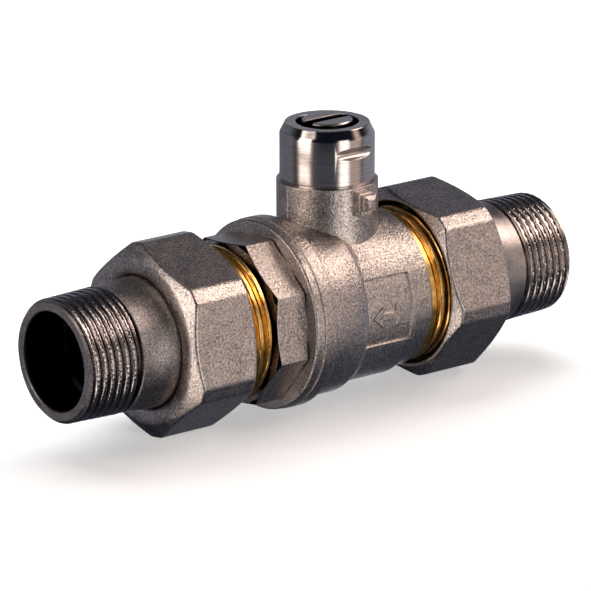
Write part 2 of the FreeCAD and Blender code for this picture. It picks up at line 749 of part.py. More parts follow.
def make_union_gasket(name, side):
    gasket = turned(name + "_union_gasket", [
        ("gasket_inner_radius", "0"),
        ("tail_collar_radius - gasket_inset", "0"),
        ("tail_collar_radius - gasket_inset", "gasket_thickness"),
        ("gasket_inner_radius", "gasket_thickness"),
    ])
    lay_along(gasket, side, SPIGOT_ENDS[name])
    return gasket


parts = [make_valve_body(), make_end_adapter(), make_body_joint_seal(), make_ball()]
for name, side in (("left", -1), ("right", 1)):
    parts.append(make_seat(name + "_ball_seat", side))
    parts.append(make_seat_o_ring(name + "_seat_o_ring", side))
    parts.append(make_union_nut(name, side))
    parts.append(make_tailpiece(name, side))
    parts.append(make_union_gasket(name, side))
parts.append(make_stem())
parts.append(make_tube("stem_thrust_washer", "stem_radius + stem_gap", "stem_flange_radius",
                       "washer_thickness", STEM_FLANGE_TOP))
parts.append(make_stem_o_ring("lower_stem_o_ring", "lower_o_ring_level"))
parts.append(make_stem_o_ring("upper_stem_o_ring", "upper_o_ring_level"))
parts.append(make_tube("stem_guide_bush", "stem_radius + stem_gap", "collar_bore_radius",
                       "bush_length", "bush_bottom"))
parts.append(make_tube("stem_retaining_ring", "stem_radius - ring_groove_depth + ring_fit",
                       "ring_outer_radius", "ring_thickness", "bush_bottom + bush_length + ring_gap"))
doc.recompute()

for item in doc.Objects:
    if "Invalid" in item.State or "Error" in item.State:
        raise RuntimeError(f"{item.Label} could not be built: {item.State}")
for part in parts:
    if part.Shape.isNull() or not part.Shape.isValid() or not part.Shape.Solids:
        raise RuntimeError(f"{part.Label} has no sound shape")

os.makedirs("parts", exist_ok=True)
for part in parts:
    part.Shape.exportStep(f"parts/{part.Label}.step")
    print(part.Label, len(part.Shape.Solids), round(part.Shape.Volume, 2))
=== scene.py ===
import math

import bpy
import numpy as np
from mathutils import Matrix, Vector


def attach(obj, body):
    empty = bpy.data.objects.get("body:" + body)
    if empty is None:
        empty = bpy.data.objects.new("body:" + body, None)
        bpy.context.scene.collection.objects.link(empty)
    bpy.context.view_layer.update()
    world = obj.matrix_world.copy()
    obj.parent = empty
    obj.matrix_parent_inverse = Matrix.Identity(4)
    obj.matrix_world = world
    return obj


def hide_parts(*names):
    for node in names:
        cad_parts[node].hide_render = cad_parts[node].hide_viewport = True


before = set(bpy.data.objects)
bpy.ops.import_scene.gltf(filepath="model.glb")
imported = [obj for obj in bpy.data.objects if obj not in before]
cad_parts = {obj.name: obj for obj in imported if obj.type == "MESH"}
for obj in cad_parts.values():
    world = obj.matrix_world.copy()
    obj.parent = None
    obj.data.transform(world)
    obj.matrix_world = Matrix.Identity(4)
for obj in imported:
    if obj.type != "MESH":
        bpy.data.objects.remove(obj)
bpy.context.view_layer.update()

# Sizes in metres, in the model's own frame: the pipe along X, the stem along Z. Places along the pipe
# count outward from the stem.
MM = 0.001
LEFT, RIGHT = -1, 1
END_NAMES = {LEFT: "left", RIGHT: "right"}

# Pipe thread on the tails, 14 to the inch, and union thread, 11 to the inch. The depth is a share of the
# pitch. The flat crest ends and the root starts at shares of the way from mid crest to mid root.
TAIL_PITCH = 25.4 * MM / 14
UNION_PITCH = 25.4 * MM / 11
THREAD_DEPTH = 0.50
CREST_SHARE = 0.36
ROOT_SHARE = 0.92
FLANK_ROUNDING = 0.6

# The spigots: their ends, the shoulders that their threads run up to, and the depth of the relief groove
# there. The groove's side and the thread's run-out each lie between two distances from the shoulder.
SPIGOT_END = {LEFT: 39.8 * MM, RIGHT: 25.7 * MM}
SPIGOT_SHOULDER = {LEFT: 26.9 * MM, RIGHT: 14.8 * MM}
RELIEF_DEPTH = {LEFT: 1.3 * MM, RIGHT: 0.0}
RELIEF_EDGE = (0.8 * MM, 1.1 * MM)
UNION_CREST = 16.60 * MM
UNION_LEAD = 15.3 * MM
UNION_RUN_OUT = (0.1 * MM, 1.6 * MM)
UNION_THREAD_START = 0.2

# The core that a spigot is drawn in to under its thread, and the radii that count as spigot
UNION_CORE = 14.4 * MM
SPIGOT_RADII = (15.0 * MM, 16.65 * MM)
SPIGOT_MARGIN = 0.1 * MM

# The tails: a collar behind the gasket, a shank with a soft waist, a relief groove and a tapered thread
GASKET = 2.0 * MM
TAIL_COLLAR = 3.6 * MM
TAIL_COLLAR_RADIUS = 15.0 * MM
TAIL_COLLAR_CHAMFER = 0.2 * MM
TAIL_REACH = 22.0 * MM
TAIL_SHANK = 13.75 * MM
TAIL_WAIST_DEPTH = 0.5 * MM
TAIL_WAIST_START = 0.5 * MM
TAIL_WAIST_END = 1.5 * MM
TAIL_GROOVE = 12.5 * MM
TAIL_GROOVE_WIDTH = 0.9 * MM
TAIL_GROOVE_SLOPE = 0.35 * MM
TAIL_THREAD = 12.4 * MM
TAIL_CREST = 12.95 * MM
TAIL_TAPER = 1 / 32
TAIL_END_RADIUS = 12.2 * MM
TAIL_BORE = 9.8 * MM
TAIL_MOUTH = 10.42 * MM
TAIL_MOUTH_DEPTH = 10.6 * MM
TAIL_MOUTH_CHAMFER = 0.25 * MM

# The nicks in the crests of the pipe threads, to hold sealing hemp: how many a turn has, how far each
# spreads round (1 for all the way to the next), their depth, their shift from turn to turn in radians,
# and where across the crest they lie, in turns
NICKS = {LEFT: 80, RIGHT: 40}
NICK_WIDTH = {LEFT: 1.0, RIGHT: 0.1}
NICK_DEPTH = {LEFT: 0.055 * MM, RIGHT: 0.18 * MM}
NICK_SHIFT = 2.1
NICK_PLACE = 0.12
NICK_REACH = 0.09

# The union nuts. Each front flat faces a little above level.
NUT_LENGTH = 16.2 * MM
NUT_SHOULDER = 4.0 * MM
NUT_FLAT = 18.6 * MM
NUT_CORNER = 20.5 * MM
NUT_SLOPE = 1.86
NUT_FACE = 17.3 * MM
NUT_MOUTH = 18.1 * MM
NUT_EDGE = 0.35 * MM
NUT_THREAD = 16.72 * MM
NUT_COUNTERSINK = 1.18 * MM
NUT_COUNTERSINK_RADIUS = 17.85 * MM
NUT_HOLE = 14.05 * MM
NUT_HOLE_ROUND = 0.5 * MM
FRONT_FLAT = {LEFT: math.radians(8.3), RIGHT: math.radians(20.1)}

# The octagon's chamfer beside the left nut, and the wall inside it round the spigot, both given painted
# shade
OCTAGON_EDGE = 26.0 * MM
OCTAGON_CORNER = 18.3 * MM
OCTAGON_SLOPE = 2.0
OCTAGON_WALL = (16.86 * MM, 16.92 * MM)
OCTAGON_WALL_START = 0.66 * MM

# Heights: where the neck's forged skin ends and the turned collar starts, where the collar's chamfer
# starts, and the top of the stem, whose head is shown a little smaller than it is
COLLAR_BOTTOM = 26.5 * MM
COLLAR_CHAMFER = 36.5 * MM
STEM_TOP = 39.3 * MM
STEM_HEAD_HEIGHT = 3.0 * MM
STEM_HEAD_RADIUS = 5.8 * MM
STEM_HEAD_SHOWN = 5.3 * MM


# Meshes

def new_mesh(name, points, faces, smooth_angle=None):
    """A new piece, shaded smooth but for edges sharper than the angle, in degrees."""
    mesh = bpy.data.meshes.new(name)
    mesh.from_pydata([tuple(point) for point in points], [], faces)
    mesh.validate()
    mesh.update()
    mesh.polygons.foreach_set("use_smooth", [True] * len(mesh.polygons))
    if smooth_angle is not None:
        mesh.set_sharp_from_angle(angle=math.radians(smooth_angle))
    piece = bpy.data.objects.new(name, mesh)
    bpy.context.scene.collection.objects.link(piece)
    return piece


def round_angles(columns):
    return np.arange(columns) * 2 * math.pi / columns


def all_round(values, columns):
    """A row for each value, the same in every column."""
    return np.repeat(values[:, None], columns, axis=1)


def lathe(name, heights, radii, side, smooth_angle):
    """A closed turned surface. heights has one value for each row, radii one for each row and column.
    The rows run once round the section, and the columns round the pipe axis, right-handed about the
    direction in which the height grows."""
    rows, columns = radii.shape
    angles = round_angles(columns)
    across = radii * np.cos(angles)[None, :]
    up = radii * np.sin(angles)[None, :]
    if side < 0:
        across, up = up, across
    along = all_round(side * heights, columns)
    points = np.stack([along, across, up], axis=2).reshape(-1, 3)
    faces = []
    for row in range(rows):
        next_row = (row + 1) % rows
        for column in range(columns):
            next_column = (column + 1) % columns
            faces.append((row * columns + column, row * columns + next_column,
                          next_row * columns + next_column, next_row * columns + column))
    return new_mesh(name, points, faces, smooth_angle)


def section_rows(corners, step):
    """Heights and radii along an open outline of (height, radius) corners, no further apart than a step."""
    heights, radii = [], []
    for (start, start_radius), (end, end_radius) in zip(corners, corners[1:]):
        length = math.hypot(end - start, end_radius - start_radius)
        count = max(1, math.ceil(length / step))
        for index in range(count):
            share = index / count
            heights.append(start + share * (end - start))
            radii.append(start_radius + share * (end_radius - start_radius))
    heights.append(corners[-1][0])
    radii.append(corners[-1][1])
    return np.array(heights), np.array(radii)


def smooth_step(start, end, values):
    share = np.clip((values - start) / (end - start), 0, 1)
    return share * share * (3 - 2 * share)


def smooth_least(first, second, softness):
    """The lesser of two surfaces, with the edge between them rounded."""
    blend = np.clip(0.5 + 0.5 * (second - first) / softness, 0, 1)
    return second * (1 - blend) + first * blend - softness * blend * (1 - blend)


def thread_form(turns):
    """Depth of a thread as a share of its full depth: 0 on its flat crest, 1 in its narrow root."""
    down = 1 - np.abs(2 * (turns % 1) - 1)
    flank = np.clip((down - CREST_SHARE) / (ROOT_SHARE - CREST_SHARE), 0, 1)
    return FLANK_ROUNDING * smooth_step(0, 1, flank) + (1 - FLANK_ROUNDING) * flank


def nut_face(side):
    """How far the outer face of a nut is from the stem."""
    return SPIGOT_END[side] + GASKET + TAIL_COLLAR + NUT_SHOULDER


def nut_bore(side):
    """The X values, in rising order, between which a nut is bored for its thread."""
    return sorted((side * (nut_face(side) - NUT_SHOULDER), side * (nut_face(side) - NUT_LENGTH)))


def tail_end(side):
    """How far the free end of a tail is from the stem."""
    return nut_face(side) + TAIL_REACH


def make_tailpiece(side):
    """Collar, shank with a soft waist, and a tapered thread with nicked crests to hold sealing hemp."""
    columns = 480
    fine = 0.10 * MM
    coarse = 1.5 * MM
    collar_face = SPIGOT_END[side] + GASKET
    collar_back = collar_face + TAIL_COLLAR
    collar_rim = TAIL_COLLAR_RADIUS - TAIL_COLLAR_CHAMFER
    end = tail_end(side)
    thread_start = end - TAIL_THREAD
    groove = thread_start - TAIL_GROOVE_WIDTH

    plain = [(collar_face, TAIL_BORE), (collar_face, collar_rim),
             (collar_face + TAIL_COLLAR_CHAMFER, TAIL_COLLAR_RADIUS),
             (collar_back - TAIL_COLLAR_CHAMFER, TAIL_COLLAR_RADIUS),
             (collar_back, collar_rim), (collar_back, TAIL_SHANK)]
    for place in np.linspace(nut_face(side) - TAIL_WAIST_START, groove, 26):
        narrowing = smooth_step(nut_face(side) + TAIL_WAIST_START, groove - TAIL_WAIST_END, place)
        plain.append((place, TAIL_SHANK - TAIL_WAIST_DEPTH * narrowing))
    plain += [(groove + TAIL_GROOVE_SLOPE, TAIL_GROOVE), (thread_start, TAIL_GROOVE)]
    heights, radii = section_rows(plain, coarse)
    thread_heights = np.arange(thread_start + fine, end + fine / 2, fine)
    thread_heights[-1] = end
    mouth = end - TAIL_MOUTH_DEPTH
    inside = [(end, TAIL_MOUTH + TAIL_MOUTH_CHAMFER), (end - TAIL_MOUTH_CHAMFER, TAIL_MOUTH),
              (mouth, TAIL_MOUTH), (mouth, TAIL_BORE)]
    inside_heights, inside_radii = section_rows(inside, 2 * coarse)

    angles = round_angles(columns)[None, :]
    height = thread_heights[:, None]
    turns = (height - thread_start) / TAIL_PITCH - angles / (2 * math.pi)
    crest = TAIL_CREST + (end - height) * TAIL_TAPER
    turn = np.round(turns)
    nicks = np.clip(np.cos(angles * NICKS[side] + NICK_SHIFT * turn) + NICK_WIDTH[side], 0, 2)
    along_crest = np.clip(1 - ((turns - turn - NICK_PLACE) / NICK_REACH) ** 2, 0, 1)
    threaded = crest - THREAD_DEPTH * TAIL_PITCH * thread_form(turns)
    threaded -= NICK_DEPTH[side] * nicks * along_crest
    lead = np.minimum(threaded, TAIL_END_RADIUS + (end - height))
    shape = np.concatenate([all_round(radii, columns), lead, all_round(inside_radii, columns)])
    rows = np.concatenate([heights, thread_heights, inside_heights])
    piece = lathe(END_NAMES[side] + "_threaded_tail", rows, shape, side, 40)
    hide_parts(END_NAMES[side] + "_tailpiece")
    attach(piece, END_NAMES[side] + "_tail")
    return piece


def make_union_thread(side):
    """The bare brass thread of a spigot, run out at its shoulder, where the adapter's has a relief groove,
    and chamfered at its end."""
    columns = 240
    fine = 0.11 * MM
    shoulder, end = SPIGOT_SHOULDER[side], SPIGOT_END[side]
    heights = np.arange(shoulder, end + fine / 2, fine)
    heights[-1] = end
    height = heights[:, None]
    angles = round_angles(columns)[None, :]
    turns = (end - height) / UNION_PITCH + angles / (2 * math.pi) + UNION_THREAD_START
    run_out = smooth_step(shoulder + UNION_RUN_OUT[0], shoulder + UNION_RUN_OUT[1], height)
    threaded = UNION_CREST - THREAD_DEPTH * UNION_PITCH * thread_form(turns) * run_out
    past_groove = smooth_step(shoulder + RELIEF_EDGE[0], shoulder + RELIEF_EDGE[1], height)
    grooved = UNION_CREST - RELIEF_DEPTH[side] * (1 - past_groove)
    lead = np.minimum(np.minimum(threaded, grooved), UNION_LEAD + (end - height))
    shape = np.concatenate([lead, np.full((2, columns), UNION_CORE)])
    rows = np.concatenate([heights, [end, shoulder]])
    piece = lathe(END_NAMES[side] + "_union_thread", rows, shape, side, 40)
    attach(piece, "valve")
    return piece


def make_union_nut(side):
    """Hexagon with flattened corners and a chamfer at each end, every edge softened as forged."""
    columns = 720
    outer_face = nut_face(side)
    inner_face = outer_face - NUT_LENGTH
    heights = np.linspace(inner_face, outer_face, 76)
    angles = round_angles(columns)
    if side < 0:
        facing = angles + math.pi / 2 - FRONT_FLAT[side]
    else:
        facing = angles + math.pi + FRONT_FLAT[side]
    sixth = math.pi / 3
    to_flat = (facing + sixth / 2) % sixth - sixth / 2
    to_corner = facing % sixth - sixth / 2
    hexagon = smooth_least(NUT_FLAT / np.cos(to_flat), NUT_CORNER / np.cos(to_corner), NUT_EDGE)
    height = heights[:, None]
    outer_cone = NUT_FACE + (outer_face - height) * NUT_SLOPE
    inner_cone = NUT_MOUTH + (height - inner_face) * NUT_SLOPE
    cones = smooth_least(outer_cone, inner_cone, NUT_EDGE)
    outside = smooth_least(np.repeat(hexagon[None, :], len(heights), axis=0), cones, NUT_EDGE)
    inside = np.array([(outer_face, NUT_HOLE + NUT_HOLE_ROUND),
                       (outer_face - 0.3 * NUT_HOLE_ROUND, NUT_HOLE + 0.4 * NUT_HOLE_ROUND),
                       (outer_face - NUT_HOLE_ROUND, NUT_HOLE),
                       (outer_face - NUT_SHOULDER, NUT_HOLE),
                       (outer_face - NUT_SHOULDER, NUT_THREAD),
                       (inner_face + NUT_COUNTERSINK, NUT_THREAD),
                       (inner_face, NUT_COUNTERSINK_RADIUS)])
    shape = np.concatenate([outside, all_round(inside[:, 1], columns)])
    rows = np.concatenate([heights, inside[:, 0]])
    name = END_NAMES[side] + "_union_nut"
    piece = lathe(END_NAMES[side] + "_forged_nut", rows, shape, side, 50)
    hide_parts(name)
    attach(piece, END_NAMES[side] + "_nut")
    return piece


def copy_stem():
    """A copy of the stem with a slightly smaller head, so that a wider dark gap stands round it."""
    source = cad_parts["stem"].data
    points = np.array([vertex.co[:] for vertex in source.vertices])
    at_head = points[:, 2] > STEM_TOP - STEM_HEAD_HEIGHT
    outer = at_head & (np.hypot(points[:, 0], points[:, 1]) > STEM_HEAD_SHOWN)
    points[outer, :2] *= STEM_HEAD_SHOWN / STEM_HEAD_RADIUS
    faces = [polygon.vertices[:] for polygon in source.polygons]
    piece = new_mesh("stem_head_and_tang", points, faces, 30)
    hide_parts("stem")
    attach(piece, "stem_and_ball")
    return piece


def copy_with_core(node, name, side, body):
    """A copy of a node whose spigot is drawn in to a core, so that a threaded piece can stand round it.
    Points that fall together are joined, and a face that loses a corner by it is left out."""
    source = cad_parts[node].data
    points = np.array([vertex.co[:] for vertex in source.vertices])
    radius = np.hypot(points[:, 1], points[:, 2])
    past_shoulder = side * points[:, 0] > SPIGOT_SHOULDER[side] - SPIGOT_MARGIN
    on_spigot = past_shoulder & (radius > SPIGOT_RADII[0]) & (radius < SPIGOT_RADII[1])
    points[on_spigot, 1:] *= (UNION_CORE / radius[on_spigot])[:, None]
    keys = np.round(points / 1e-7).astype(np.int64)
    first, inverse = np.unique(keys, axis=0, return_index=True, return_inverse=True)[1:]
    inverse = inverse.reshape(-1)
    faces = []
    for polygon in source.polygons:
        corners = [int(inverse[index]) for index in polygon.vertices]
        if len(set(corners)) == len(corners):
            faces.append(corners)
    piece = new_mesh(name, points[first], faces, 30)
    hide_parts(node)
    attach(piece, body)
    return piece


# Materials

# The kind of socket that a Mix node uses for each type of data
MIX_SOCKETS = {"FLOAT": "VALUE", "RGBA": "RGBA", "VECTOR": "VECTOR"}


class Nodes:
    """The node tree of a material or of the world, and short ways to add to it."""

    def __init__(self, holder):
        holder.use_nodes = True
        self.tree = holder.node_tree

    def feed(self, socket, value):
        """Set a socket to a fixed number, vector or colour, or link it to another node's output."""
        if isinstance(value, bpy.types.NodeSocket):
            self.tree.links.new(value, socket)
        elif socket.type == "RGBA":
            socket.default_value = (*value, 1.0)
        else:
            socket.default_value = value

    def node(self, kind, inputs=None, **settings):
        """A new node with its settings, and with its inputs fed by name."""
        made = self.tree.nodes.new(kind)
        for key, value in settings.items():
            setattr(made, key, value)
        for name, value in (inputs or {}).items():
            self.feed(made.inputs[name], value)
        return made

    def operate(self, kind, operation, values):
        """A Math or Vector Math node, with its inputs fed in order."""
        made = self.node(kind, operation=operation)
        for socket, value in zip(made.inputs, values):
            self.feed(socket, value)
        return made

    def math(self, operation, *values):
        return self.operate("ShaderNodeMath", operation, values).outputs["Value"]

    def dot(self, first, second):
        return self.operate("ShaderNodeVectorMath", "DOT_PRODUCT", (first, second)).outputs["Value"]


class Material(Nodes):
    """A metal or plastic, with colour, roughness and relief from nodes on the piece's own coordinates."""

    def __init__(self, name):
        self.material = bpy.data.materials.new(name)
        super().__init__(self.material)
        self.shader = self.tree.nodes["Principled BSDF"]
        self.place = self.node("ShaderNodeTexCoord").outputs["Object"]

    def noise(self, size, detail=2.0, roughness=0.5, stretch=(1, 1, 1)):
        """Noise whose lumps are about a given size in metres."""
        scale = tuple(1 / (size * share) for share in stretch)
        mapping = self.node("ShaderNodeMapping", {"Vector": self.place, "Scale": scale})
        texture = self.node("ShaderNodeTexNoise", {"Vector": mapping.outputs["Vector"], "Scale": 1.0,
                                                   "Detail": detail, "Roughness": roughness})
        return texture.outputs["Fac"]

    def remap(self, value, low, high, to_low, to_high):
        made = self.node("ShaderNodeMapRange", {"Value": value, "From Min": low, "From Max": high,
                                                "To Min": to_low, "To Max": to_high})
        return made.outputs["Result"]

    def between(self, value, low, high, edge):
        """1 between two values and 0 outside them, over a soft edge."""
        above = self.remap(value, low - edge, low + edge, 0.0, 1.0)
        below = self.remap(value, high - edge, high + edge, 1.0, 0.0)
        return self.math("MULTIPLY", above, below)

    def mix(self, share, first, second, data_type="FLOAT"):
        made = self.node("ShaderNodeMix", data_type=data_type)
        kind = MIX_SOCKETS[data_type]
        for name, value, wanted in (("Factor", share, "VALUE"), ("A", first, kind), ("B", second, kind)):
            socket = [entry for entry in made.inputs if entry.name == name and entry.type == wanted][0]
            self.feed(socket, value)
        return [entry for entry in made.outputs if entry.type == kind][0]

    def mix_colour(self, share, first, second):
        return self.mix(share, first, second, "RGBA")

    def shades(self, value, low, high, first, second):
        """From one colour to another as a value goes from low to high."""
        return self.mix_colour(self.remap(value, low, high, 0.0, 1.0), first, second)

    def bevel(self, radius):
        return self.node("ShaderNodeBevel", {"Radius": radius}, samples=6).outputs["Normal"]

    def edge_mask(self, bevelled, low, high):
        """High where the rounded normal leaves the true one: the edges, lightened both for rubbing and as a
        painted highlight.
        """
        normal = self.node("ShaderNodeNewGeometry").outputs["Normal"]
        return self.remap(self.dot(bevelled, normal), high, low, 0.0, 1.0)

    def bump(self, height, distance, normal=None):
        made = self.node("ShaderNodeBump", {"Distance": distance, "Height": height})
        if normal is not None:
            self.feed(made.inputs["Normal"], normal)
        return made.outputs["Normal"]

    def axis_value(self, axis):
        return self.node("ShaderNodeSeparateXYZ", {"Vector": self.place}).outputs[axis]

    def radius(self):
        """Distance from the pipe axis."""
        across, up = self.axis_value("Y"), self.axis_value("Z")
        squares = self.math("ADD", self.math("MULTIPLY", across, across), self.math("MULTIPLY", up, up))
        return self.math("POWER", squares, 0.5)

    def finish(self, colour, roughness, normal, metallic=1.0):
        for name, value in (("Base Color", colour), ("Roughness", roughness), ("Normal", normal),
                            ("Metallic", metallic)):
            self.feed(self.shader.inputs[name], value)
        return self.material


NICKEL_LIGHT = (0.70, 0.63, 0.58)
NICKEL_DARK = (0.52, 0.47, 0.44)
# Painted shade for the pits, painted glints for the grain tops, and edges lightened for wear and as a
# painted highlight
NICKEL_PIT_SHADE = (0.15, 0.15, 0.18)
NICKEL_PAINTED_GLINT = (0.99, 0.86, 0.76)
NICKEL_WEAR_AND_HIGHLIGHT = (0.84, 0.76, 0.70)
BRASS_LIGHT = (0.98, 0.67, 0.26)
BRASS_DARK = (0.78, 0.43, 0.11)
STEM_LIGHT = (0.80, 0.73, 0.68)
# Painted shade: a tail's bore; a tail's thread roots, a nut's mouth and below the stem's top; the octagon's
# chamfer; the brass thread's roots and groove
BORE_SHADE = (0.10, 0.10, 0.13)
SHADED = (0.020, 0.020, 0.028)
DEEP_SHADE = (0.006, 0.006, 0.012)
BRASS_SHADE = (0.004, 0.004, 0.006)

# How dull each tail's shank is, and how much painted shade darkens its pits, more on the left
SATIN = {LEFT: 0.44, RIGHT: 0.34}
PIT_SHADE_AMOUNT = {LEFT: 1.0, RIGHT: 0.5}

# Over what depths below the crest painted shade darkens a thread's root, and over what radii it darkens a
# tail's bore and a nut's mouth
TAIL_ROOT = (0.50 * MM, 0.80 * MM)
BRASS_ROOT = (0.80 * MM, 1.12 * MM)
DARK_BORE = (10.46 * MM, 10.60 * MM)
DARK_MOUTH = (17.5 * MM, 17.8 * MM)
SHADE_EDGE = 0.05 * MM

# How far a tail's painted root shade goes on behind its thread, and how far from the free end it stops
ROOTS_PAST = 0.8 * MM
ROOTS_SHORT = 0.85 * MM


def turned_collar(made, colour, roughness, normal, bevelled):
    """Above the neck, fine turned lines instead of the blasted skin, and a smoother chamfer at the top."""
    height = made.axis_value("Z")
    top = made.remap(height, COLLAR_BOTTOM - 0.02 * MM, COLLAR_BOTTOM + 0.02 * MM, 0.0, 1.0)
    chamfer = made.remap(height, COLLAR_CHAMFER, COLLAR_CHAMFER + 0.1 * MM, 0.0, 1.0)
    lines = made.noise(0.30 * MM, detail=3.0, roughness=0.7, stretch=(18, 18, 1))
    normal = made.mix(top, normal, made.bump(lines, 0.0045 * MM, bevelled), "VECTOR")
    colour = made.mix_colour(top, colour, made.shades(lines, 0.35, 0.65, NICKEL_DARK, NICKEL_LIGHT))
    roughness = made.mix(chamfer, made.mix(top, roughness, 0.19), 0.10)
    return colour, roughness, normal


def octagon_chamfer(made):
    """1 on the chamfer of the octagon beside the left nut and on the wall inside it, where painted shade
    goes, 0 elsewhere.
    """
    along = made.math("MULTIPLY", made.axis_value("X"), -1.0)
    cone = made.math("ADD", made.math("MULTIPLY", along, -OCTAGON_SLOPE),
                     OCTAGON_CORNER + OCTAGON_SLOPE * OCTAGON_EDGE)
    aside = made.math("ABSOLUTE", made.math("SUBTRACT", made.radius(), cone))
    on_cone = made.math("MULTIPLY", made.remap(aside, 0.08 * MM, 0.16 * MM, 1.0, 0.0),
                        made.between(along, OCTAGON_EDGE, SPIGOT_SHOULDER[LEFT], SHADE_EDGE))
    on_wall = made.math("MULTIPLY", made.remap(made.radius(), *OCTAGON_WALL, 1.0, 0.0),
                        made.between(along, OCTAGON_EDGE + OCTAGON_WALL_START, SPIGOT_SHOULDER[LEFT],
                                     SHADE_EDGE))
    return made.math("MAXIMUM", on_cone, on_wall)


def blasted_nickel(name, depth, machined_top=False, dark_mouth=None, dark_chamfer=False):
    """Nickel over a sand-blasted forging: a fine pitted skin, with painted shade in the pits, painted
    glints on the grain and edges lightened for rubbing and as a painted highlight. A nut's mouth, between
    two X values, has painted shade inside, and so has the chamfer of the octagon beside it."""
    made = Material(name)
    bevelled = made.bevel(0.35 * MM)
    sand = made.noise(0.40 * MM, roughness=0.7)
    grit = made.noise(0.9 * MM, detail=1.0)
    swells = made.noise(6.0 * MM, detail=1.0)
    mottle = made.noise(2.5 * MM, detail=3.0)
    relief = made.math("ADD", sand, made.math("MULTIPLY", grit, 0.45))
    relief = made.math("ADD", relief, made.math("MULTIPLY", swells, 0.8))
    normal = made.bump(relief, depth, bevelled)
    colour = made.shades(mottle, 0.3, 0.7, NICKEL_DARK, NICKEL_LIGHT)
    # Painted shade in the pits of the sand
    colour = made.mix_colour(made.remap(sand, 0.32, 0.50, 0.9, 0.0), colour, NICKEL_PIT_SHADE)
    # Painted glints on the tops of the sand
    colour = made.mix_colour(made.remap(sand, 0.53, 0.63, 0.0, 0.8), colour, NICKEL_PAINTED_GLINT)
    # Edges lightened both for rubbing and as a painted highlight
    edges = made.edge_mask(bevelled, 0.93, 0.995)
    colour = made.mix_colour(made.math("MULTIPLY", edges, 0.6), colour, NICKEL_WEAR_AND_HIGHLIGHT)
    roughness = made.remap(mottle, 0.3, 0.7, 0.29, 0.36)
    if machined_top:
        colour, roughness, normal = turned_collar(made, colour, roughness, normal, bevelled)
    if dark_mouth is not None:
        # Painted shade inside the nut's mouth
        within = made.between(made.axis_value("X"), *dark_mouth, SHADE_EDGE)
        mouth = made.math("MULTIPLY", within, made.remap(made.radius(), *DARK_MOUTH, 1.0, 0.0))
        colour = made.mix_colour(mouth, colour, SHADED)
    if dark_chamfer:
        # Painted shade on the octagon's chamfer and the wall inside it
        colour = made.mix_colour(octagon_chamfer(made), colour, DEEP_SHADE)
    return made.finish(colour, roughness, normal)


def turned_nickel(name, side):
    """Nickel over turned brass: a satin shank with painted shade in its pits, bright crests with painted
    shade in the roots between, and painted shade in the bore.
    """
    made = Material(name)
    end = tail_end(side)
    along = made.math("MULTIPLY", made.axis_value("X"), side)
    radius = made.radius()
    crest = made.math("ADD", made.math("MULTIPLY", along, -TAIL_TAPER), TAIL_CREST + end * TAIL_TAPER)
    depth = made.math("SUBTRACT", crest, radius)
    threaded = made.between(along, end - TAIL_THREAD - ROOTS_PAST, end - ROOTS_SHORT, 0.1 * MM)
    root = made.math("MULTIPLY", threaded, made.remap(depth, *TAIL_ROOT, 0.0, 0.92))
    inside = made.remap(radius, *DARK_BORE, 1.0, 0.0)

    lines = made.noise(0.12 * MM, stretch=(1, 60, 60))
    grain = made.noise(0.34 * MM, roughness=0.65)
    mottle = made.noise(2.2 * MM, detail=3.0)
    normal = made.bump(made.math("ADD", lines, grain), 0.022 * MM)
    colour = made.shades(mottle, 0.35, 0.65, NICKEL_DARK, NICKEL_LIGHT)
    # Painted shade in the pits of the grain, deeper on the left
    colour = made.mix_colour(made.remap(grain, 0.34, 0.64, PIT_SHADE_AMOUNT[side], 0.0), colour, NICKEL_PIT_SHADE)
    # Painted shade in the roots of the thread and in the bore
    colour = made.mix_colour(root, colour, SHADED)
    colour = made.mix_colour(inside, colour, BORE_SHADE)
    satin = made.remap(mottle, 0.3, 0.7, SATIN[side] - 0.04, SATIN[side] + 0.04)
    return made.finish(colour, made.mix(threaded, satin, 0.15), normal)


def bare_brass(name):
    """Turned brass with fine lines round it, and painted shade in the roots of its thread and in its
    groove.
    """
    made = Material(name)
    lines = made.noise(0.10 * MM, stretch=(1, 60, 60))
    mottle = made.noise(1.2 * MM)
    depth = made.math("SUBTRACT", UNION_CREST, made.radius())
    colour = made.shades(mottle, 0.35, 0.65, BRASS_DARK, BRASS_LIGHT)
    # Painted shade in the roots and the groove
    colour = made.shades(depth, *BRASS_ROOT, colour, BRASS_SHADE)
    return made.finish(colour, 0.20, made.bump(lines, 0.008 * MM))


def stem_brass(name):
    """The stem: bright on top of the head, with painted shade below it and in its slot."""
    made = Material(name)
    bevelled = made.bevel(0.25 * MM)
    grain = made.noise(0.30 * MM)
    bright = made.shades(grain, 0.35, 0.65, NICKEL_DARK, STEM_LIGHT)
    # Painted shade below the head's top and in the slot
    below = made.remap(made.axis_value("Z"), STEM_TOP - 0.40 * MM, STEM_TOP - 0.20 * MM, 1.0, 0.0)
    return made.finish(made.mix_colour(below, bright, SHADED), 0.28, made.bump(grain, 0.01 * MM, bevelled))


def simple_metal(name, colour, roughness):
    made = Material(name)
    noise = made.noise(0.3 * MM)
    darker = tuple(part * 0.8 for part in colour)
    shade = made.shades(noise, 0.35, 0.65, darker, colour)
    return made.finish(shade, made.remap(noise, 0.3, 0.7, roughness * 0.8, roughness * 1.2),
                       made.bump(noise, 0.004 * MM, made.bevel(0.15 * MM)))


def plain_soft(name, colour, roughness):
    made = Material(name)
    noise = made.noise(0.5 * MM, detail=3.0)
    darker = tuple(part * 0.75 for part in colour)
    shade = made.shades(noise, 0.35, 0.65, darker, colour)
    return made.finish(shade, roughness, made.bump(noise, 0.01 * MM), metallic=0.0)


def dress(piece, material):
    piece.data.materials.clear()
    piece.data.materials.append(material)


# Pieces

FORGED_DEPTH = 0.12 * MM
NUT_DEPTH = 0.085 * MM

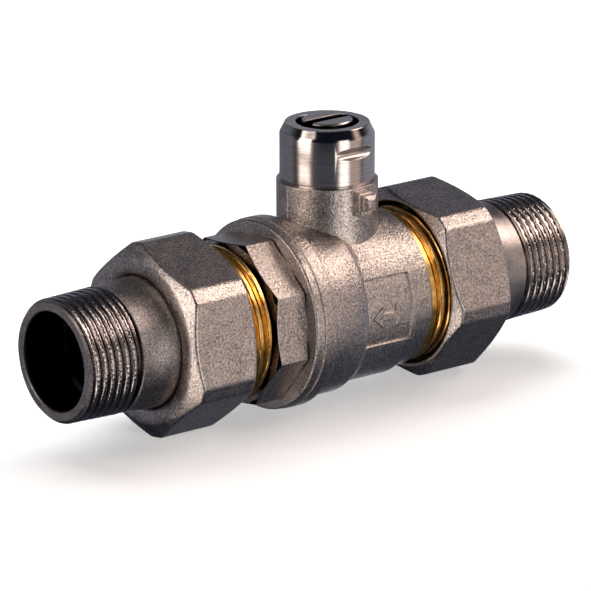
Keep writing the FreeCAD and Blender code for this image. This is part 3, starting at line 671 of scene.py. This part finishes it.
brass = bare_brass("union_brass")
dress(copy_with_core("valve_body", "valve_body_skin", RIGHT, "valve"),
      blasted_nickel("body_skin", FORGED_DEPTH, machined_top=True))
dress(copy_with_core("end_adapter", "end_adapter_skin", LEFT, "valve"),
      blasted_nickel("adapter_skin", FORGED_DEPTH, dark_chamfer=True))
for side, end in END_NAMES.items():
    dress(make_tailpiece(side), turned_nickel(end + "_tail_skin", side))
    dress(make_union_thread(side), brass)
    dress(make_union_nut(side), blasted_nickel(end + "_nut_skin", NUT_DEPTH, dark_mouth=nut_bore(side)))
dress(copy_stem(), stem_brass("stem_metal"))

PLAIN_PIECES = (
    (simple_metal("ball_chrome", (0.72, 0.72, 0.73), 0.10), ("ball",)),
    (simple_metal("spring_steel", (0.25, 0.24, 0.23), 0.35), ("stem_retaining_ring",)),
    (plain_soft("seat_plastic", (0.85, 0.84, 0.80), 0.5),
     ("left_ball_seat", "right_ball_seat", "stem_thrust_washer", "stem_guide_bush")),
    (plain_soft("seal_rubber", (0.03, 0.03, 0.03), 0.45),
     ("left_seat_o_ring", "right_seat_o_ring", "body_joint_seal", "lower_stem_o_ring",
      "upper_stem_o_ring")),
    (plain_soft("fibre", (0.10, 0.11, 0.10), 0.7), ("left_union_gasket", "right_union_gasket")),
)
for material, nodes in PLAIN_PIECES:
    for node in nodes:
        dress(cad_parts[node], material)


# Camera, as the photograph was taken

CAMERA_AZIMUTH = math.radians(-38.546)
CAMERA_ELEVATION = math.radians(16.698)
CAMERA_ROLL = math.radians(-0.101)
CAMERA_DISTANCE = 1.1332
CAMERA_TARGET = Vector((-8.524, 0.0, 2.24)) * MM
FOCAL_PIXELS = 5404.0
FRAME_PIXELS = 591.0
SENSOR = 36.0
CLIP_END = 20.0


def view_axes(azimuth, elevation):
    """The camera's right, its up, and the way from its target back to it."""
    back = Vector((math.sin(azimuth) * math.cos(elevation), -math.cos(azimuth) * math.cos(elevation),
                   math.sin(elevation)))
    right = Vector((math.cos(azimuth), math.sin(azimuth), 0.0))
    return right, back.cross(right), back


right, up, back = view_axes(CAMERA_AZIMUTH, CAMERA_ELEVATION)
turn = Matrix.Rotation(CAMERA_ROLL, 3, back)
right, up = turn @ right, turn @ up
camera_data = bpy.data.cameras.new("camera")
camera_data.sensor_width = SENSOR
camera_data.lens = FOCAL_PIXELS / FRAME_PIXELS * SENSOR
camera_data.clip_end = CLIP_END
camera = bpy.data.objects.new("camera", camera_data)
bpy.context.scene.collection.objects.link(camera)
facing = Matrix((right, up, back)).transposed().to_4x4()
facing.translation = CAMERA_TARGET + back * CAMERA_DISTANCE
camera.matrix_world = facing
bpy.context.scene.camera = camera


# Floor and soft studio light

FLOOR_LEVEL = -20.6 * MM
FLOOR_HALF = 6.0
FLOOR_COLOUR = (0.93, 0.93, 0.93, 1.0)
FLOOR_ROUGHNESS = 0.6
FLOOR_GLOW = 0.425
LAMP_SIZE = 1.3
LAMP_POWER = 14.5
LAMP_PLACE = (0.35, 0.75, 0.9)

WARM = (1.0, 0.82, 0.73)
WHITE = (1.0, 0.93, 0.89)
PALE = (1.0, 0.88, 0.81)
COOL = (0.90, 0.95, 1.12)
AMBIENT = (0.006, 0.008, 0.016)

# Soft panels of light: the bearing from +X towards +Y, half the width, the bottom and the top above the
# horizon and the soft edge, all in degrees, then the colour and the strength
PANELS = (
    (-22, 24, 30, 50, 6, WARM, 4.7),
    (4, 9, 36, 50, 6, WARM, 0.4),
    (-45, 10, 8, 30, 6, WARM, 0.5),
    (-56, 15, -22, 14, 6, WARM, 0.62),
    (175, 16, 3, 32, 3, PALE, 3.3),
    (175, 14, -34, -3, 5, PALE, 2.5),
    (178, 18, 36, 50, 4, PALE, 2.2),
    (-165, 14, -46, -29, 3, PALE, 1.8),
    (-87, 12, -32, 22, 5, WHITE, 2.4),
    (-135, 35, -28, 8, 8, COOL, 0.08),
    (100, 45, -28, 20, 8, COOL, 0.17),
    (5, 40, -28, 12, 8, COOL, 0.32),
    (52, 14, 4, 26, 5, COOL, 0.21),
    (45, 60, 26, 86, 8, COOL, 0.06),
    (0, 179, 76, 98, 4, WARM, 0.35),
    (48, 11, -30, 1, 6, COOL, 0.8),
    (-10, 60, -46, -28, 6, COOL, 0.09),
    (0, 179, -86, -46, 6, COOL, 0.032),
)


def make_floor():
    corners = [(-FLOOR_HALF, -FLOOR_HALF), (FLOOR_HALF, -FLOOR_HALF), (FLOOR_HALF, FLOOR_HALF),
               (-FLOOR_HALF, FLOOR_HALF)]
    floor = new_mesh("floor", [(*corner, FLOOR_LEVEL) for corner in corners], [(0, 1, 2, 3)])
    material = bpy.data.materials.new("floor_paper")
    material.use_nodes = True
    shader = material.node_tree.nodes["Principled BSDF"]
    shader.inputs["Base Color"].default_value = FLOOR_COLOUR
    shader.inputs["Roughness"].default_value = FLOOR_ROUGHNESS
    shader.inputs["Emission Color"].default_value = (1.0, 1.0, 1.0, 1.0)
    shader.inputs["Emission Strength"].default_value = FLOOR_GLOW
    floor.data.materials.append(material)
    floor.visible_glossy = False


def make_lamp():
    """A wide light overhead for the floor, left out of reflections, so that the metal shows the panels."""
    data = bpy.data.lights.new("overhead", "AREA")
    data.shape = "DISK"
    data.size = LAMP_SIZE
    data.energy = LAMP_POWER
    lamp = bpy.data.objects.new("overhead", data)
    bpy.context.scene.collection.objects.link(lamp)
    lamp.location = LAMP_PLACE
    lamp.visible_glossy = False


class Studio(Nodes):
    """The room round the valve: dark, with soft panels of light, each a window in bearing and height."""

    def __init__(self, ambient):
        self.world = bpy.data.worlds.new("studio")
        super().__init__(self.world)
        self.direction = self.node("ShaderNodeTexCoord").outputs["Generated"]
        self.height = self.node("ShaderNodeSeparateXYZ", {"Vector": self.direction}).outputs["Z"]
        self.total = ambient

    def step(self, value, low, high):
        made = self.node("ShaderNodeMapRange", {"Value": value, "From Min": low, "From Max": high},
                         interpolation_type="SMOOTHSTEP")
        return made.outputs["Result"]

    def panel(self, bearing, half_width, bottom, top, edge, colour, strength):
        """Add one panel, in degrees as in the table."""
        bearing, half_width, bottom, top, edge = map(math.radians, (bearing, half_width, bottom, top, edge))
        ahead = self.dot(self.direction, (math.cos(bearing), math.sin(bearing), 0.0))
        beside = self.dot(self.direction, (-math.sin(bearing), math.cos(bearing), 0.0))
        aside = self.math("ABSOLUTE", self.math("ARCTAN2", beside, ahead))
        rise = self.math("ARCSINE", self.height)
        across = self.step(aside, half_width + edge, half_width - edge)
        above = self.step(rise, bottom - edge, bottom + edge)
        below = self.step(rise, top + edge, top - edge)
        window = self.math("MULTIPLY", self.math("MULTIPLY", across, above), below)
        light = tuple(strength * part for part in colour)
        scaled = self.node("ShaderNodeVectorMath", {"Vector": light, "Scale": window}, operation="SCALE")
        joined = self.operate("ShaderNodeVectorMath", "ADD", (self.total, scaled.outputs["Vector"]))
        self.total = joined.outputs["Vector"]

    def finish(self):
        self.feed(self.tree.nodes["Background"].inputs["Color"], self.total)
        bpy.context.scene.world = self.world


make_floor()
make_lamp()
studio = Studio(AMBIENT)
for panel in PANELS:
    studio.panel(*panel)
studio.finish()
bpy.context.scene.view_settings.view_transform = "Standard"
